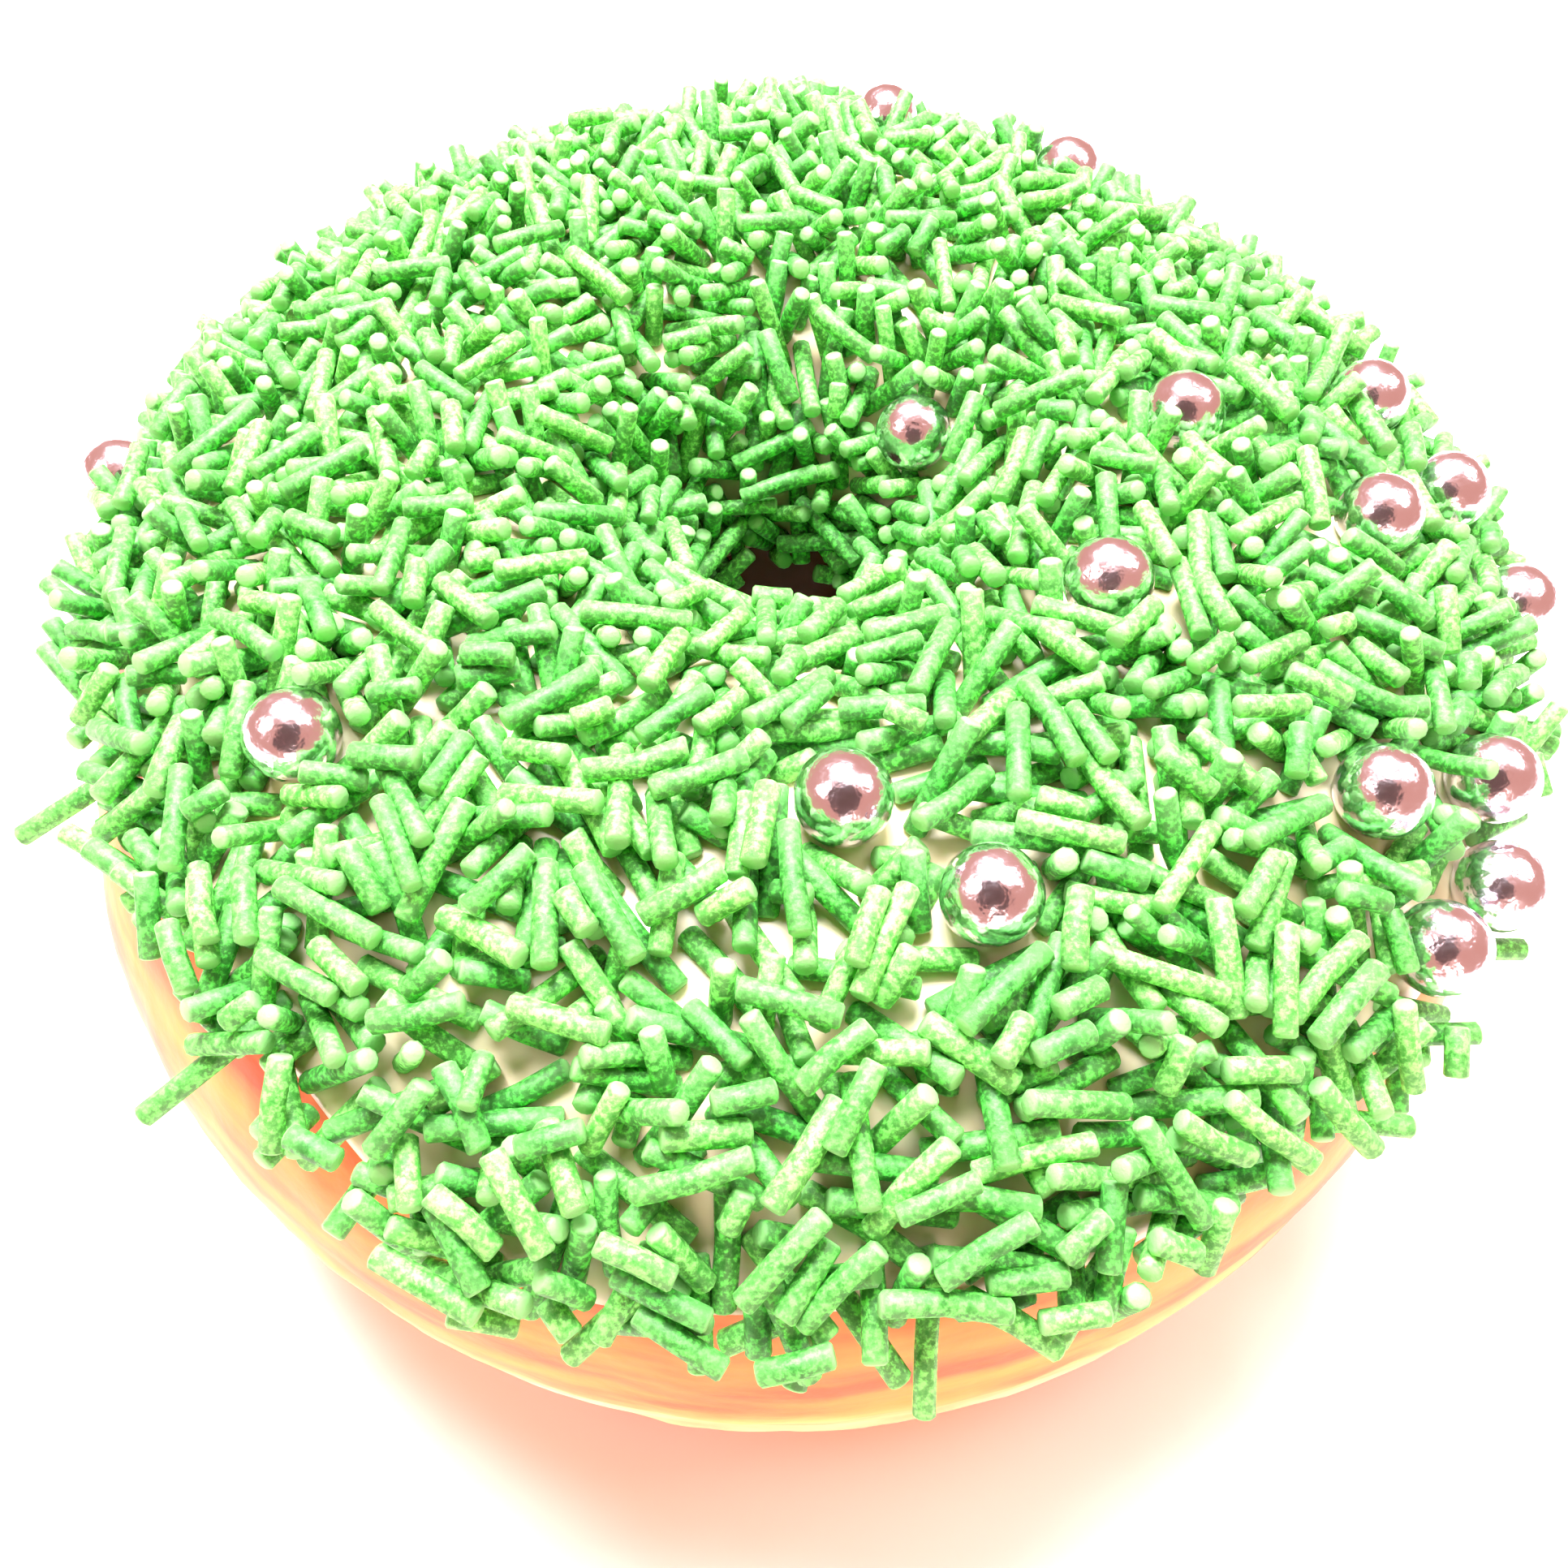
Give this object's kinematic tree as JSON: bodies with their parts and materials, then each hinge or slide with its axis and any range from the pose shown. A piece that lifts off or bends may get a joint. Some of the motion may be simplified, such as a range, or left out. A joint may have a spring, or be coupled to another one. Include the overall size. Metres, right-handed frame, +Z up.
{
  "type": "ring doughnut",
  "caption": "Iced ring doughnut, flat underneath, its top thickly covered with green sugar sprinkles and dotted with silver sugar balls",
  "frame": {"origin": "on the ground under the middle of the outline seen from above", "axes": "+Z up through the hole, -Y the front as pictured, +X to the right of that view"},
  "size_m": [0.0868, 0.0982, 0.0417],
  "materials": {
    "dough": "fried dough, golden orange with a paler band round the outside",
    "topping": "cream icing under matt green sugar sprinkles",
    "silver": "bright silver sugar coating"
  },
  "bodies": {
    "root": {"dough_ring": "dough", "icing_with_sprinkles": "topping", "silver_ball_01": "silver", "silver_ball_02": "silver", "silver_ball_03": "silver", "silver_ball_04": "silver", "silver_ball_05": "silver", "silver_ball_06": "silver", "silver_ball_07": "silver", "silver_ball_08": "silver", "silver_ball_09": "silver", "silver_ball_10": "silver", "silver_ball_11": "silver", "silver_ball_12": "silver", "silver_ball_13": "silver", "silver_ball_14": "silver", "silver_ball_15": "silver", "silver_ball_16": "silver", "silver_ball_17": "silver"}
  },
  "joints": []
}
